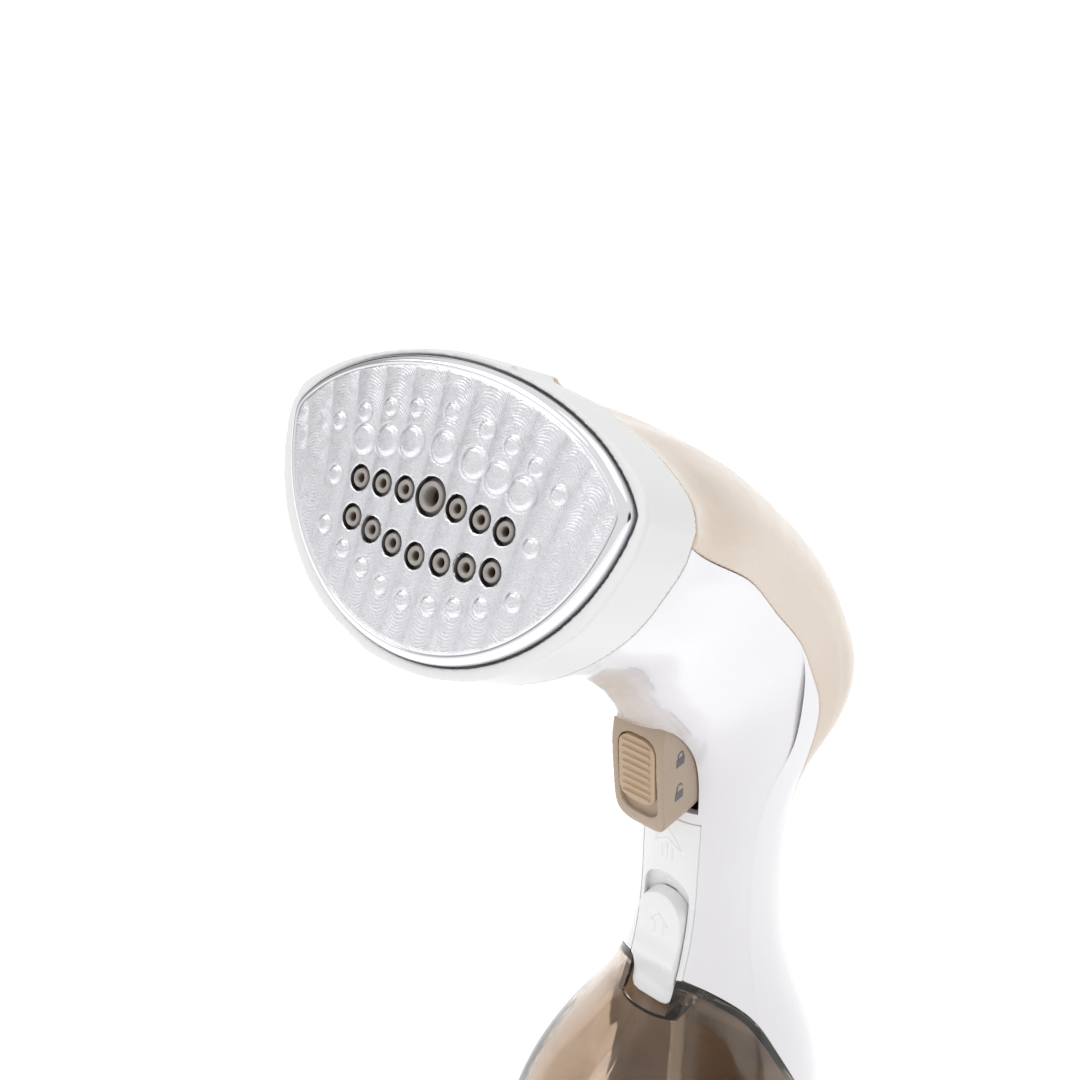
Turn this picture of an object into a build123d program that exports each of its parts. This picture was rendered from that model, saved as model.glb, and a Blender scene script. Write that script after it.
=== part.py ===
"""Hand-held garment steamer: a tilted steam head on an upright handle, with a lift-off water tank in its foot.

Millimetres. +Z is up, the steam plate faces -Y and leans back, and the origin is on the ground, under the foot.
Side-view positions are (Y, Z) pairs; every part is symmetric about X = 0 unless it says otherwise.
"""

import os
from math import cos, hypot, pi, radians, sin

from build123d import *

os.makedirs("parts", exist_ok=True)

# ---------------------------------------------------------------- driving dimensions
PLATE_Y, PLATE_Z = -100.0, 310.0  # middle of the plate's front face
PLATE_TILT = 24.6  # degrees that the plate leans back from upright
PLATE_UPPER = (47.7, 27.0)  # semi-axes of the plate's upper edge
PLATE_LOWER = (45.3, 13.2)  # radius and height of the centre of its lower edge
PLATE_THICK = 5.5
PITCH = 2.7  # unit of the nozzle layout: the radius of a small steam hole
WALL = 2.2  # moulded shell
GAP = 0.3  # between parts that move apart
GROUND = 1.2  # the housing stands this far off the ground, on its rubber pads

PANEL_BACK = -4.2  # Y of the back of the handle's front panel
PANEL_HALF, PANEL_LOW, PANEL_HIGH = 9.8, 122.0, 178.5
RECESS_FLOOR = -6.2  # Y of the floor that the tank latch slides on
LATCH_LOW, LATCH_HIGH, LATCH_HALF = 112.0, 150.0, 7.6
LATCH_TRAVEL = 6.5
NOTCH_FLOOR = 111.5  # Z of the floor of the tank's notch under the latch
TRIGGER_HALF, TRIGGER_LOW, TRIGGER_HIGH = 8.4, 179.6, 222.4
TRIGGER_BACK = -6.0
TRIGGER_OPENING = 182.4  # Z of the bottom of the trigger's hole in the shell
PIVOT_Y, PIVOT_Z = -10.0, 217.0  # axis of the trigger
SWITCH_X, SWITCH_Z = 4.0, 196.0  # the switch's nose
SPRING_X = -4.2
SLIDER_LONG, SLIDER_TRAVEL = 22.0, 5.0
SPIGOT_Y = 3.5  # axis of the tank's outlet
PUMP_Y, PUMP_TOP = 40.0, 66.0
FLOOR_THICK = 3.0  # base cover
SCREW_X, SCREW_Y = 33.0, 44.0
GLAND_Z, GLAND_R, CORD_R = 15.0, 6.5, 3.3
PLATE_UP_TIP = 8.8  # height of the plate's side tips above its middle
FILLER_Y, FILLER_Z, FILLER_LEAN = -66.5, 60.0, 24.0


# ---------------------------------------------------------------- planes and small helpers
def plate_plane(depth=0.0):
    """Parallel to the steam plate, depth behind its front face; local Y runs up the plate."""
    lean = radians(PLATE_TILT)
    normal = Vector(0, -cos(lean), sin(lean))
    return Plane(Vector(0, PLATE_Y, PLATE_Z) - normal * depth, x_dir=(1, 0, 0), z_dir=normal)


def plate_point(across, up, depth):
    """A point given in the plate's own directions, as a Vector in the row's frame."""
    return plate_plane(depth).from_local_coords(Vector(across, up, 0))


def plate_outline(grow=0.0):
    """The plate's pointed-oval outline, grown or shrunk, with its two side tips rounded."""
    (half, high), (radius, centre) = PLATE_UPPER, PLATE_LOWER
    with BuildSketch() as outline:
        Ellipse(half + grow, high + grow)
        with Locations((0, -high)):
            Rectangle(2 * (half + grow), 2 * high)
        with Locations((0, centre)):
            Circle(radius + grow, mode=Mode.INTERSECT)
        fillet(outline.vertices().filter_by(lambda v: abs(v.X) > 0.9 * (half + grow) - 1), max(3 + grow, 1.5))
    return outline.sketch


def save(part, name):
    part.label = name
    export_step(part, f"parts/{name}.step")


# ---------------------------------------------------------------- the housing's outer shape
# A slice across the body: front and back points in the side view, where between them the widest line lies, the half
# width there, the angle of the side edge, and the fullness of its back and front (2 is an ellipse, more is squarer).
STATIONS = [
    # front Y, Z       back Y, Z     widest  half  edge  back  front
    (-100.2, 271.3, -73.4, 329.7, 0.68, 49.8, 60, 1.65, 2.0),
    (-83.0, 261.0, -52.0, 317.0, 0.69, 45.5, 62, 1.75, 2.05),
    (-65.4, 249.5, -24.0, 301.5, 0.71, 40.0, 66, 1.85, 2.1),
    (-50.0, 237.5, 6.0, 279.5, 0.72, 34.5, 70, 1.9, 2.15),
    (-37.0, 227.0, 33.0, 255.0, 0.73, 30.0, 75, 2.0, 2.2),
    (-28.0, 220.0, 58.0, 226.0, 0.72, 26.0, 80, 2.1, 2.3),
    (-20.0, 213.0, 72.5, 198.0, 0.68, 23.5, 85, 2.2, 2.5),
    (-13.0, 203.0, 67.5, 183.0, 0.62, 21.5, 90, 2.3, 2.7),
    (-10.0, 191.0, 55.0, 174.0, 0.56, 19.5, 90, 2.3, 2.8),
    (-9.5, 178.0, 48.0, 164.0, 0.52, 18.4, 90, 2.3, 2.8),
    (-9.5, 163.0, 46.5, 151.0, 0.50, 18.0, 90, 2.3, 2.8),
    (-10.0, 147.0, 47.0, 134.0, 0.50, 18.2, 90, 2.2, 2.6),
    (-12.5, 130.0, 49.0, 114.0, 0.50, 20.0, 90, 2.1, 2.4),
    (-19.5, 112.0, 53.5, 94.0, 0.50, 25.0, 90, 2.0, 2.2),
    (-36.0, 95.0, 58.0, 78.0, 0.50, 33.5, 90, 2.0, 2.0),
    (-59.0, 77.0, 63.5, 62.0, 0.50, 42.0, 90, 2.0, 2.0),
    (-70.0, 52.0, 69.5, 42.0, 0.50, 45.5, 90, 2.0, 2.0),
    (-76.5, 23.0, 75.5, 20.0, 0.50, 47.5, 90, 2.0, 2.0),
    (-78.0, GROUND, 77.5, GROUND, 0.50, 48.0, 90, 2.0, 2.0),
]
QUARTER_STEPS = 7


def quarter(half, height, power, edge):
    """Points from the side edge to the crown of one quarter of a slice, with the end directions of its curve."""
    angles = [pi / 2 * i / QUARTER_STEPS for i in range(QUARTER_STEPS + 1)]
    points = [(half * cos(a) ** (2 / power), height * sin(a) ** (2 / power)) for a in angles]
    points[0], points[-1] = (half, 0), (0, height)
    slope = radians(edge)
    rise = 1 if height > 0 else -1
    return points, (-cos(slope), rise * sin(slope)), (-1, 0)


def slice_wire(half, back, front, edge, back_power, front_power):
    """The closed outline of a slice, made of four quarters, drawn in the plane of the sketch around it."""
    crown, start, end = quarter(half, back, back_power, edge)
    keel, down, across = quarter(half, -front, front_power, 90)
    Spline(*crown, tangents=[start, end])
    Spline(*[(-x, y) for x, y in reversed(crown)], tangents=[(-1, 0), (start[0], -start[1])])
    Spline(*[(-x, y) for x, y in keel], tangents=[down, (1, 0)])
    Spline(*reversed(keel), tangents=[(1, 0), (0, 1)])


def slice_face(station, inset=0.0):
    y_front, z_front, y_back, z_back, widest, half, edge, back_power, front_power = station
    along = (y_back - y_front, z_back - z_front)
    length = hypot(*along)
    origin = (0, y_front + widest * along[0], z_front + widest * along[1])
    plane = Plane(origin=origin, x_dir=(1, 0, 0), z_dir=(0, -along[1] / length, along[0] / length))
    back, front = (1 - widest) * length - inset, widest * length - inset
    with BuildSketch(plane) as face:
        with BuildLine():
            slice_wire(half - inset, back, front, edge, back_power, front_power)
        make_face()
    return face.sketch


def body(inset=0.0, first=0, last=None):
    """The body's solid between two stations, drawn in by inset all round."""
    with BuildPart() as solid:
        add([slice_face(station, inset) for station in reversed(STATIONS[first:last])])
        loft()
    return solid.part


# ---------------------------------------------------------------- where the housing divides, in the side view
COVER_SEAM = [
    (-88, 312), (-76, 303), (-45, 283), (-21, 263), (2, 243), (21, 221), (31, 205), (33.5, 190),
    (33.5, 172), (36, 150), (38, 136), (42, 118), (48, 97), (55, 75), (62, 50), (67, 24), (69, -6),
]  # fmt: skip
TANK_SEAM = [(-30, 130), (-16.5, 125.5), (-8, 119), (-1, 111.5), (6, 102), (12, 86), (18, 67), (24, 41), (27, 15), (28, -6)]


def shifted(points, amount):
    """A side-view curve moved towards its right hand side, seen along its way."""
    moved = []
    for i, (y, z) in enumerate(points):
        (y0, z0), (y1, z1) = points[max(i - 1, 0)], points[min(i + 1, len(points) - 1)]
        length = hypot(y1 - y0, z1 - z0)
        moved.append((y - amount * (z1 - z0) / length, z + amount * (y1 - y0) / length))
    return moved


def side_region(seam, *corners):
    """Everything on one side of a seam, 140 mm wide: the seam's curve closed by straight lines through corners."""
    with BuildPart() as region:
        with BuildSketch(Plane.YZ):
            with BuildLine():
                Spline(*seam)
                Polyline(seam[-1], *corners, seam[0])
            make_face()
        extrude(amount=70, both=True)
    return region.part


def cover_region(back=0.0):
    seam = shifted(COVER_SEAM, back)
    return side_region(seam, (130, seam[-1][1]), (130, 360), (seam[0][0], 360))


def tank_region(back=0.0):
    """The space of the tank; a positive back moves the seam into the housing."""
    seam = shifted(TANK_SEAM, back)
    return side_region(seam, (-130, seam[-1][1]), (-130, seam[0][1]))


outer = body()
inner = body(WALL)
snug = body(WALL + 0.1)  # what fits inside the shell


def block(x0, x1, y0, y1, z0, z1):
    """A box between two corners."""
    return Pos((x0 + x1) / 2, (y0 + y1) / 2, (z0 + z1) / 2) * Box(x1 - x0, y1 - y0, z1 - z0, mode=Mode.PRIVATE)


def upright(radius, y, z0, z1, x=0.0):
    """A cylinder along Z."""
    return Pos(x, y, (z0 + z1) / 2) * Cylinder(radius, z1 - z0, mode=Mode.PRIVATE)


def stadium(half, low, high, y0, y1):
    """A slab between two Y positions with a round top, and a round bottom edge, seen from the front."""
    with BuildPart() as slab:
        with BuildSketch(Plane.XZ.offset(-y1)):
            with Locations((0, (low + high) / 2)):
                RectangleRounded(2 * half, high - low, half - 0.1)
        extrude(amount=y1 - y0)
    return slab.part


# ---------------------------------------------------------------- steam head
ROW_HOLES = [(2.63, -0.16), (4.98, -0.32), (7.31, -0.50), (2.48, -4.21), (4.82, -3.86), (7.10, -3.49)]
MIDDLE_HOLE = (0, -4.44)
BIG_BUMPS = [(3.17, 3.32), (5.52, 2.83), (7.89, 2.34)]
SMALL_BUMPS = [
    (3.50, 5.77), (6.06, 5.28), (8.54, 4.31), (10.96, 3.07), (9.90, -0.94), (9.70, -4.81),
    (2.49, -7.47), (4.84, -6.80), (7.13, -6.06),
]  # fmt: skip


def both_sides(points, *middle):
    """Layout points in millimetres, repeated on the other side, with those on the middle line."""
    pairs = [(side * x, y) for x, y in points for side in (-1, 1)] + list(middle)
    return [(x * PITCH, y * PITCH) for x, y in pairs]


small_holes = both_sides(ROW_HOLES, MIDDLE_HOLE)

with BuildPart() as steam_plate:
    with BuildSketch(plate_plane(PLATE_THICK)):
        add(plate_outline())
    extrude(amount=PLATE_THICK)
    chamfer(steam_plate.faces().sort_by(Axis((0, 0, 0), plate_plane().z_dir))[-1].outer_wire().edges(), 0.9)
    with BuildSketch(plate_plane()):
        with Locations(*both_sides(BIG_BUMPS, (0, 3.68))):
            Circle(2.9)
        with Locations(*both_sides(SMALL_BUMPS, (0, 6.25), (0, -7.8))):
            Circle(1.7)
    extrude(amount=0.6, taper=35)
    with BuildSketch(plate_plane(PLATE_THICK)):
        Circle(1.467 * PITCH)
        with Locations(*small_holes):
            Circle(PITCH)
    extrude(amount=PLATE_THICK, mode=Mode.SUBTRACT)
    with BuildSketch(plate_plane(PLATE_THICK)):
        with Locations((35.5, 8.8), (-35.5, 8.8)):
            Circle(1.2)
    extrude(amount=3.5, mode=Mode.SUBTRACT)
save(steam_plate.part, "steam_plate")


def nozzle(places, base, tip, hole):
    """Stepped steam nozzles pressed into the plate from behind."""
    with BuildPart() as inserts:
        with BuildSketch(plate_plane(PLATE_THICK)):
            with Locations(*places):
                Circle(base)
        extrude(amount=3.7)
        with BuildSketch(plate_plane(PLATE_THICK - 3.7)):
            with Locations(*places):
                Circle(tip)
        extrude(amount=1.5)
        with BuildSketch(plate_plane(PLATE_THICK)):
            with Locations(*places):
                Circle(hole)
        extrude(amount=6, mode=Mode.SUBTRACT)
    return inserts.part


save(nozzle(small_holes, PITCH, 2.05, 0.9), "small_nozzles")
save(nozzle([(0, 0)], 1.467 * PITCH, 3.1, 1.75), "centre_nozzle")

LIP_DEPTH = 9.0  # back of the lip that the plate rests on
HEAD_TOP, HEAD_LOW = 28.7, -34.6  # the bezel's front edge, up and down the plate

with BuildPart() as head_bezel:
    front_plane = plate_plane(2.0)
    front_plane.origin = plate_point(0, PLATE_UP_TIP, 2.0)
    with BuildSketch(front_plane) as front_edge:
        with BuildLine():
            slice_wire(47.6, HEAD_TOP - PLATE_UP_TIP, PLATE_UP_TIP - HEAD_LOW, 50, 1.7, 2.0)
        make_face()
    add(slice_face(STATIONS[0]))
    loft()
    with BuildSketch(plate_plane(PLATE_THICK)):
        add(plate_outline(0.4))
    extrude(amount=PLATE_THICK, mode=Mode.SUBTRACT)
    with BuildSketch(plate_plane(LIP_DEPTH)):
        add(plate_outline(-4))
    extrude(amount=LIP_DEPTH, mode=Mode.SUBTRACT)
    with BuildSketch(plate_plane(16.5)):
        add(plate_outline())
    extrude(amount=7.5, mode=Mode.SUBTRACT)
save(head_bezel.part, "head_bezel")

with BuildPart() as chamber_gasket:
    with BuildSketch(plate_plane(6.5)):
        add(plate_outline(-7))
        add(plate_outline(-12), mode=Mode.SUBTRACT)
        with Locations((35.5, 8.8), (-35.5, 8.8)):
            Circle(1.2, mode=Mode.SUBTRACT)
    extrude(amount=1)
save(chamber_gasket.part, "chamber_gasket")

ELEMENT_R = 2.6
with BuildPart() as heating_element:
    with BuildLine(plate_plane(19)) as path:
        Line((-19, 9), (-19, 2))
        ThreePointArc((-19, 2), (0, -17), (19, 2))
        Line((19, 2), (19, 9))
    with BuildSketch(path.wire() ^ 0):
        Circle(ELEMENT_R)
    sweep()
    with BuildSketch(plate_plane(31)):
        with Locations((-19, 9), (19, 9)):
            Circle(ELEMENT_R)
    extrude(amount=12)
    with Locations(plate_point(-19, 9, 19), plate_point(19, 9, 19)):
        Sphere(ELEMENT_R)
save(heating_element.part, "heating_element")

with BuildPart() as heater_block:
    with BuildSketch(plate_plane(20)):
        add(plate_outline(-7))
    extrude(amount=13.5)
    with BuildSketch(plate_plane(13)):
        add(plate_outline(-12))
    extrude(amount=6.5, mode=Mode.SUBTRACT)
    with BuildSketch(plate_plane(20)):
        with Locations((35.5, 8.8), (-35.5, 8.8)):
            Circle(1.2)
        with Locations((0, 10)):
            Circle(1.4)
    extrude(amount=13.5, mode=Mode.SUBTRACT)
    add(heating_element.part, mode=Mode.SUBTRACT)
save(heater_block.part, "heater_block")

with BuildPart() as block_screws:
    with BuildSketch(plate_plane(20)):
        with Locations((35.5, 8.8), (-35.5, 8.8)):
            Circle(1.2)
    extrude(amount=17.5)
    with BuildSketch(plate_plane(22)):
        with Locations((35.5, 8.8), (-35.5, 8.8)):
            Circle(2.4)
    extrude(amount=2)
save(block_screws.part, "block_screws")

with BuildPart() as inlet_nipple:
    with BuildSketch(plate_plane(34)):
        with Locations((0, 10)):
            Circle(2.4)
            Circle(1.4, mode=Mode.SUBTRACT)
    extrude(amount=14)
save(inlet_nipple.part, "inlet_nipple")

with BuildPart() as thermostat:
    with BuildSketch(plate_plane(26)):
        with Locations((0, -6)):
            Circle(6)
    extrude(amount=6)
    with BuildSketch(plate_plane(31)):
        with Locations((-3.5, -6), (3.5, -6)):
            Rectangle(0.8, 4)
    extrude(amount=5)
save(thermostat.part, "thermostat")

with BuildPart() as thermal_fuse:
    with Locations(Plane(plate_point(0, 3, 21.8), x_dir=(0, 0, 1), z_dir=(1, 0, 0))):
        Cylinder(1.8, 12)
        Cylinder(0.5, 26)
save(thermal_fuse.part, "thermal_fuse")

# ---------------------------------------------------------------- housing
casing = outer - inner

with BuildPart() as upper_cover:
    add(casing & cover_region(0.1))
    with Locations(Pos(0, 76, GLAND_Z) * Rot(90, 0, 0)):
        Cylinder(GLAND_R, 30, mode=Mode.SUBTRACT)
save(upper_cover.part, "upper_cover")

panel_space = block(-PANEL_HALF - 0.1, PANEL_HALF + 0.1, -60, PANEL_BACK, PANEL_LOW - 0.1, PANEL_HIGH + 0.4)
trigger_space = block(-TRIGGER_HALF - 0.5, TRIGGER_HALF + 0.5, -60, -2, TRIGGER_OPENING, TRIGGER_HIGH + 0.6)
latch_space = block(-LATCH_HALF - GAP, LATCH_HALF + GAP, -60, RECESS_FLOOR + 0.3, 105, 160)
screw_places = [(-SCREW_X, SCREW_Y), (SCREW_X, SCREW_Y)]
floor_top = GROUND + FLOOR_THICK
socket_outer = upright(7.5, SPIGOT_Y, 96, 126) & snug

with BuildPart() as lower_shell:
    add(casing - cover_region() - tank_region(0.15))
    add((tank_region(2.35) - tank_region(0.15)) & inner)
    for x, y in screw_places:
        add(upright(4.2, y, floor_top, 18, x) & outer)
    add([panel_space, trigger_space, latch_space, socket_outer], mode=Mode.SUBTRACT)
    for x, y in screw_places:
        add(upright(1.5, y, floor_top, 16, x), mode=Mode.SUBTRACT)
save(lower_shell.part, "lower_shell")

with BuildPart() as base_cover:
    add(snug & block(-60, 60, -80, 80, GROUND, floor_top) - tank_region(2.45))
    add(upright(7, PUMP_Y, floor_top, PUMP_TOP - 38))
    add(upright(5, PUMP_Y, floor_top, PUMP_TOP - 38), mode=Mode.SUBTRACT)
    for x, y in screw_places:
        add([upright(1.5, y, 0, 9, x), upright(2.8, y, 0, 2.8, x)], mode=Mode.SUBTRACT)
    add(block(-17, 17, 44, 60, 0, 2), mode=Mode.SUBTRACT)
save(base_cover.part, "base_cover")

with BuildPart() as rear_pad:
    add(block(-17, 17, 44, 60, 0, 2))
save(rear_pad.part, "rear_pad")

with BuildPart() as base_screws:
    for x, y in screw_places:
        add([upright(2.7, y, 1.4, 2.8, x), upright(1.5, y, 2.8, 15, x)])
save(base_screws.part, "base_screws")

with BuildPart() as cord_gland:
    with Locations(Pos(0, 74, GLAND_Z) * Rot(90, 0, 0)):
        Cylinder(GLAND_R, 18)
    with Locations(Pos(0, 67, GLAND_Z) * Rot(90, 0, 0)):
        Cylinder(GLAND_R + 2, 4)
    with Locations(Pos(0, 75, GLAND_Z) * Rot(90, 0, 0)):
        Cylinder(CORD_R, 30, mode=Mode.SUBTRACT)
save(cord_gland.part, "cord_gland")

# ---------------------------------------------------------------- handle front: panel and tank latch
with BuildPart() as front_panel:
    add(outer & block(-PANEL_HALF, PANEL_HALF, -60, PANEL_BACK, PANEL_LOW, PANEL_HIGH))
    add(stadium(LATCH_HALF + GAP, 100, LATCH_HIGH + LATCH_TRAVEL + 0.7, -40, RECESS_FLOOR), mode=Mode.SUBTRACT)
    add(block(-2.1, 2.1, -10, 0, 135.5, 149.6), mode=Mode.SUBTRACT)
    add(block(-3, 3, PANEL_BACK, -0.4, 160, 162.5))
save(front_panel.part, "front_panel")

LATCH_FACE = [(-10.9, 150), (-12.0, 143), (-12.4, 133), (-14.6, 128), (-14.2, 124), (-15.2, 112)]
with BuildPart() as tank_latch:
    with BuildSketch(Plane.YZ):
        with BuildLine():
            Spline(*LATCH_FACE)
            Polyline(LATCH_FACE[-1], (RECESS_FLOOR - 0.1, 112), (RECESS_FLOOR - 0.1, 150), LATCH_FACE[0])
        make_face()
    extrude(amount=LATCH_HALF, both=True)
    with BuildSketch(Plane.XZ):
        with Locations((0, (LATCH_LOW + LATCH_HIGH) / 2)):
            RectangleRounded(2 * LATCH_HALF, LATCH_HIGH - LATCH_LOW, LATCH_HALF - 0.1)
        with Locations((0, LATCH_LOW + 13)):
            RectangleRounded(2 * LATCH_HALF, 26, 3)
    extrude(amount=40, mode=Mode.INTERSECT)
    add(block(-1.8, 1.8, -7, -3.5, 136, 142.8))
    add(block(-4.5, 4.5, PANEL_BACK + 0.3, -1.2, 138, 147))
    add(block(-3, 3, -10, -7.2, 110, 114))
save(tank_latch.part, "tank_latch")


def coil(plane, radius, wire, length, turns):
    """A round-wire compression spring that stands on the plane."""
    with BuildPart() as spring:
        with BuildLine() as line:
            Helix(pitch=(length - wire * 2) / turns, height=length - wire * 2, radius=radius, center=(0, 0, wire))
        with BuildSketch(line.wire() ^ 0):
            Circle(wire)
        sweep()
    return plane * spring.part


save(coil(Plane((0, -2.4, 147.2)), 1.5, 0.25, 12.6, 7), "latch_spring")

# ---------------------------------------------------------------- trigger and its lock
TRIGGER_FACE = [(-25.5, 222.4), (-27, 217), (-26.3, 200), (-24.0, 187), (-20.5, 181.6), (-16, 182.6), (-12.5, 184.6)]
FACE_Y, FACE_Z, FACE_LEAN = -26.3, 201.5, 4.0  # middle of the trigger's front face and how far it leans forward
face_normal = Vector(0, -cos(radians(FACE_LEAN)), -sin(radians(FACE_LEAN)))
TRIGGER_PLANE = Plane((0, FACE_Y, FACE_Z), x_dir=(1, 0, 0), z_dir=face_normal)
POCKET_DEPTH = 2.6

with BuildPart() as trigger:
    with BuildSketch(Plane.YZ):
        with BuildLine():
            Spline(*TRIGGER_FACE)
            Polyline(TRIGGER_FACE[-1], (TRIGGER_BACK, 186), (TRIGGER_BACK, 212), (-9, 222.4), TRIGGER_FACE[0])
        make_face()
    extrude(amount=TRIGGER_HALF, both=True)
    with BuildSketch(Plane.XY.offset(TRIGGER_LOW)):
        with Locations((0, -18)):
            RectangleRounded(2 * TRIGGER_HALF, 24, 2.6)
        with Locations((0, -8)):
            Rectangle(2 * TRIGGER_HALF, 12)
    extrude(amount=50, mode=Mode.INTERSECT)
    with BuildSketch(Plane.XZ.offset(-10)):
        with Locations((0, TRIGGER_LOW + 30)):
            RectangleRounded(2 * TRIGGER_HALF, 56, 7.4)
        with Locations((0, TRIGGER_LOW + 40)):
            Rectangle(2 * TRIGGER_HALF, 56)
    extrude(amount=60, mode=Mode.INTERSECT)
    with BuildSketch(TRIGGER_PLANE.offset(-POCKET_DEPTH)):
        with Locations((0, 0.5)):
            RectangleRounded(12.6, SLIDER_LONG + SLIDER_TRAVEL + 0.6, 4.5)
    extrude(amount=10, mode=Mode.SUBTRACT)
    with Locations(Pos(0, PIVOT_Y, PIVOT_Z) * Rot(0, 90, 0)):
        Cylinder(1.56, 30, mode=Mode.SUBTRACT)
    with Locations(Pos(SPRING_X, -10, SWITCH_Z + 2) * Rot(90, 0, 0)):
        Cylinder(3.0, 8.4, mode=Mode.SUBTRACT)
save(trigger.part, "trigger")

with BuildPart() as lock_slider:
    with BuildSketch(TRIGGER_PLANE.offset(-POCKET_DEPTH + 0.1)):
        with Locations((0, 0.5 + SLIDER_TRAVEL / 2)):
            RectangleRounded(12.0, SLIDER_LONG, 4.2)
    extrude(amount=POCKET_DEPTH + 0.3)
    with BuildSketch(TRIGGER_PLANE.offset(0.3)):
        with Locations((0, 0.5 + SLIDER_TRAVEL / 2)):
            with GridLocations(0, 2.5, 1, 8):
                RectangleRounded(9.4, 1.1, 0.5)
    extrude(amount=0.8)
save(lock_slider.part, "lock_slider")

with BuildPart() as trigger_pin:
    with Locations(Pos(0, PIVOT_Y, PIVOT_Z) * Rot(0, 90, 0)):
        Cylinder(1.5, 24.4)
save(trigger_pin.part, "trigger_pin")

with BuildPart() as trigger_frame:
    add(block(-12.2, 12.2, -14, 16, 182, 223) & snug)
    add(block(-9.6, 9.6, -16, 14, 181, 224), mode=Mode.SUBTRACT)
    add(block(-19, 19, 14, 16, 188, 212) & snug)
    with Locations(Pos(0, PIVOT_Y, PIVOT_Z) * Rot(0, 90, 0)):
        Cylinder(1.5, 30, mode=Mode.SUBTRACT)
save(trigger_frame.part, "trigger_frame")
save(coil(Plane((SPRING_X, -14, SWITCH_Z + 2), x_dir=(1, 0, 0), z_dir=(0, 1, 0)), 2.3, 0.3, 27.9, 9), "trigger_spring")

PLUNGER_Y = -4.75  # middle of the plunger's round nose
with BuildPart() as switch_plunger:
    add(block(SWITCH_X - 1.5, SWITCH_X + 1.5, PLUNGER_Y, 5, SWITCH_Z - 1, SWITCH_Z + 1))
    with Locations(Pos(SWITCH_X, PLUNGER_Y, SWITCH_Z) * Rot(0, 90, 0)):
        Cylinder(1.2, 3)
save(switch_plunger.part, "switch_plunger")

with BuildPart() as microswitch:
    add(block(SWITCH_X - 3.2, SWITCH_X + 3.2, 4, 14, SWITCH_Z - 6, SWITCH_Z + 14))
    add(block(SWITCH_X - 1.7, SWITCH_X + 1.7, 3, 8.5, SWITCH_Z - 1.3, SWITCH_Z + 1.3), mode=Mode.SUBTRACT)
save(microswitch.part, "microswitch")

# ---------------------------------------------------------------- water tank
TANK_WALL = 2.4
notch = block(-LATCH_HALF - 0.6, LATCH_HALF + 0.6, -60, -2, NOTCH_FLOOR, 140)
shoulder = block(-PANEL_HALF - 0.3, PANEL_HALF + 0.3, -60, -2, PANEL_LOW - 0.3, 140)
notch_room = block(-LATCH_HALF - 3, LATCH_HALF + 3, -60, 0.4, NOTCH_FLOOR - TANK_WALL, 140)
hollow = (body(TANK_WALL) & tank_region(-TANK_WALL - 0.15)) - block(-80, 80, -90, 90, 0, GROUND + TANK_WALL) - notch_room
filler_plane = Plane((0, FILLER_Y, FILLER_Z), x_dir=(1, 0, 0), z_dir=(0, -cos(radians(FILLER_LEAN)), sin(radians(FILLER_LEAN))))

with BuildPart() as water_tank:
    add((outer & tank_region(-0.15)) - hollow)
    add([notch, shoulder, upright(4.5, SPIGOT_Y, 90, 125)], mode=Mode.SUBTRACT)
    add(block(-3.3, 3.3, -10.3, -6.9, NOTCH_FLOOR - 1.7, 113), mode=Mode.SUBTRACT)
    with Locations(filler_plane):
        Cylinder(9, 14, mode=Mode.SUBTRACT)
    add(block(-28, 28, -60, 3, 0, 2), mode=Mode.SUBTRACT)
save(water_tank.part, "water_tank")

with BuildPart() as tank_pad:
    add(block(-28, 28, -60, 3, 0, 2))
save(tank_pad.part, "tank_pad")

with BuildPart() as filler_plug:
    with Locations(filler_plane):
        Cylinder(8.7, 9)
    with Locations(filler_plane.offset(3.3)):
        Cylinder(10.5, 2.4)
save(filler_plug.part, "filler_plug")

with BuildPart() as tank_spigot:
    add([upright(4.5, SPIGOT_Y, 94, 119)])
    add(upright(4.0, SPIGOT_Y, 115, 117), mode=Mode.SUBTRACT)
    add(upright(4.0, SPIGOT_Y, 115, 117))
    add([upright(1.4, SPIGOT_Y, 90, 125), upright(2.5, SPIGOT_Y, 90, 102)], mode=Mode.SUBTRACT)
save(tank_spigot.part, "tank_spigot")

with BuildPart() as suction_tube:
    add(upright(2.5, SPIGOT_Y, 10, 102))
    add(upright(1.6, SPIGOT_Y, 9, 103), mode=Mode.SUBTRACT)
save(suction_tube.part, "suction_tube")

with BuildPart() as tube_filter:
    add(upright(5.5, SPIGOT_Y, 5, 17))
    add([upright(2.5, SPIGOT_Y, 10, 18), upright(1.6, SPIGOT_Y, 7, 12)], mode=Mode.SUBTRACT)
    with Locations((0, SPIGOT_Y, 6.5)):
        with PolarLocations(4.5, 6):
            Box(6, 1.6, 2.2, mode=Mode.SUBTRACT)
save(tube_filter.part, "tube_filter")

# ---------------------------------------------------------------- water path inside the housing
with BuildPart() as dock_socket:
    add(socket_outer - tank_region(0.15))
    add(upright(4.8, SPIGOT_Y, 90, 121), mode=Mode.SUBTRACT)
    add(upright(2.3, SPIGOT_Y, 126, 132))
    add(upright(1.4, SPIGOT_Y, 120, 136), mode=Mode.SUBTRACT)
save(dock_socket.part, "dock_socket")

with BuildPart() as pump:
    add(block(-13, 13, PUMP_Y - 10, PUMP_Y + 11, PUMP_TOP - 38, PUMP_TOP - 6))
    add(upright(8, PUMP_Y, PUMP_TOP - 6, PUMP_TOP))
    for x in (-5, 5):
        add(upright(2.0, PUMP_Y, PUMP_TOP, PUMP_TOP + 9, x))
save(pump.part, "pump")


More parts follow.
